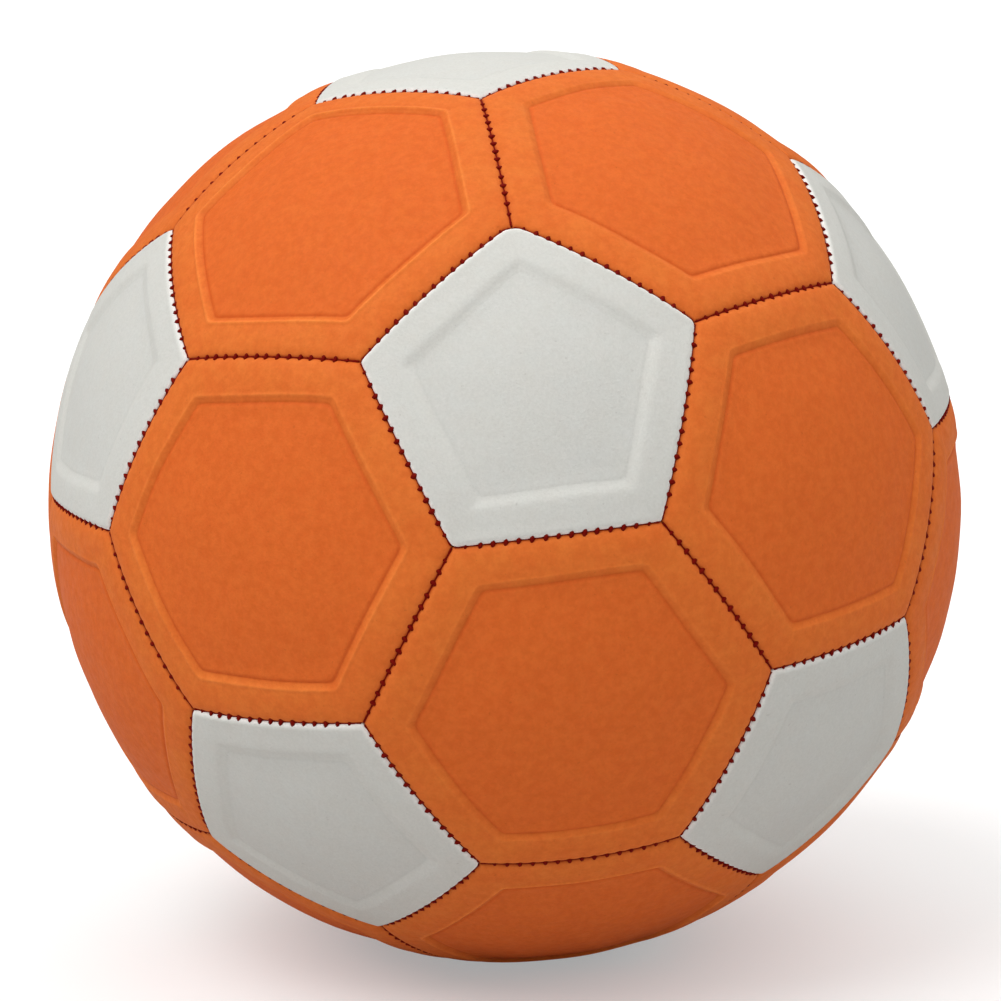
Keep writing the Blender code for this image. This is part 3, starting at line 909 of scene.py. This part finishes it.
def make_world():
    """Light that grows from the horizon to the zenith, behind a plain white backdrop."""
    world = bpy.data.worlds.new("studio")
    bpy.context.scene.world = world
    world.use_nodes = True
    tree = world.node_tree
    place = tree.nodes.new("ShaderNodeTexCoord")
    parts = tree.nodes.new("ShaderNodeSeparateXYZ")
    rise = tree.nodes.new("ShaderNodeMapRange")
    rise.inputs["To Min"].default_value = HORIZON_LIGHT
    rise.inputs["To Max"].default_value = ZENITH_LIGHT
    light = tree.nodes["Background"]
    light.inputs["Color"].default_value = (1, 0.995, 0.985, 1)
    backdrop = tree.nodes.new("ShaderNodeBackground")
    chooser = tree.nodes.new("ShaderNodeMixShader")
    backdrop.inputs["Color"].default_value = (1, 1, 1, 1)
    seen = tree.nodes.new("ShaderNodeLightPath").outputs["Is Camera Ray"]
    for start, end in (
        (place.outputs["Generated"], parts.inputs["Vector"]),
        (parts.outputs["Z"], rise.inputs["Value"]),
        (rise.outputs["Result"], light.inputs["Strength"]),
        (seen, chooser.inputs["Fac"]),
        (light.outputs["Background"], chooser.inputs[1]),
        (backdrop.outputs["Background"], chooser.inputs[2]),
        (chooser.outputs["Shader"], tree.nodes["World Output"].inputs["Surface"]),
    ):
        tree.links.new(start, end)


def make_floor(height):
    corners = ((-1, -1), (1, -1), (1, 1), (-1, 1))
    points = np.array([(x * FLOOR_HALF_SIZE, y * FLOOR_HALF_SIZE, height) for x, y in corners])
    new_mesh_object("floor", points, [(0, 1, 2, 3)], floor_material("floor_paint"))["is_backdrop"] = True


# The pieces


panels = [Panel(name) for name in panel_names]
seams = find_seams(panels)
corner_draws = find_corner_draws(panels)

white = cover_material(
    "white_cover",
    rim=(0.612, 0.612, 0.577),
    pressed=(0.595, 0.597, 0.566),
    deep=(0.6, 0.598, 0.558),
    blotch=(0.985, 0.985, 0.98),
    tint=(1.0, 0.988, 0.985),
    # The crease tone is painted shade
    crease=(0.965, 0.965, 0.965),
    # The ridge tone is a painted highlight
    ridge=(1.03, 1.03, 1.03),
    # The edge tone is a painted highlight along the seam
    edge=(1.5, 1.5, 1.55),
)
orange = cover_material(
    "orange_cover",
    rim=(0.716, 0.174, 0.03),
    pressed=(0.695, 0.1425, 0.0238),
    deep=(0.69, 0.139, 0.0235),
    blotch=(0.93, 0.87, 0.8),
    tint=(1.0, 0.96, 0.97),
    # The crease tone is painted shade
    crease=(0.9, 0.8, 0.75),
    # The ridge tone is a painted highlight
    ridge=(1.14, 1.3, 1.45),
    # The edge tone is painted shade along the seam
    edge=(0.45, 0.2, 0.15),
)
thread = thread_material("maroon_thread")
black = rubber_material("valve_rubber", (0.016, 0.016, 0.017), (0.035, 0.035, 0.037), 0.42)
dark = rubber_material("core_rubber", (0.05, 0.05, 0.053), (0.085, 0.085, 0.09), 0.45)
bladder = rubber_material("bladder_rubber", (0.012, 0.012, 0.013), (0.03, 0.03, 0.032), 0.5)
weight = rubber_material("weight_rubber", (0.035, 0.03, 0.026), (0.07, 0.062, 0.055), 0.6)

for number, panel in enumerate(panels):
    is_white = panel.sides == 5
    hole = NECK_RADIUS + HOLE_CLEARANCE if panel.name == VALVE_PANEL else None
    cover = make_cover(panel, white if is_white else orange, number, hole)
    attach(cover, "ball")
    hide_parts(panel.name)

thread_points = {name: node_points(name) for name in frame["nodes"] if name.startswith("seam_thread")}
owners = {name: [] for name in sorted(thread_points)}
for seam in seams:
    owners[thread_of(seam, thread_points)].append(seam)
for name, own_seams in owners.items():
    stitches = make_thread(name, own_seams, thread)
    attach(stitches, "ball")
    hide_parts(name)

turned_piece("valve_housing", 0.3 * MM, black)
turned_piece("valve_core", 0.25 * MM, dark)
turned_piece("valve_patch", 0.3 * MM, cloth_material("patch_cloth"))

for node, material in (
    ("valve_lip_a", dark),
    ("valve_lip_b", dark),
    ("bladder", bladder),
    ("balance_weight", weight),
):
    frame["nodes"][node].data.materials.clear()
    frame["nodes"][node].data.materials.append(material)

make_floor(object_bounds()[0][2])
make_camera()
make_world()
for name, towards, strength, spread in SUNS:
    make_sun(name, towards, strength, spread)
bpy.context.scene.view_settings.view_transform = "Standard"
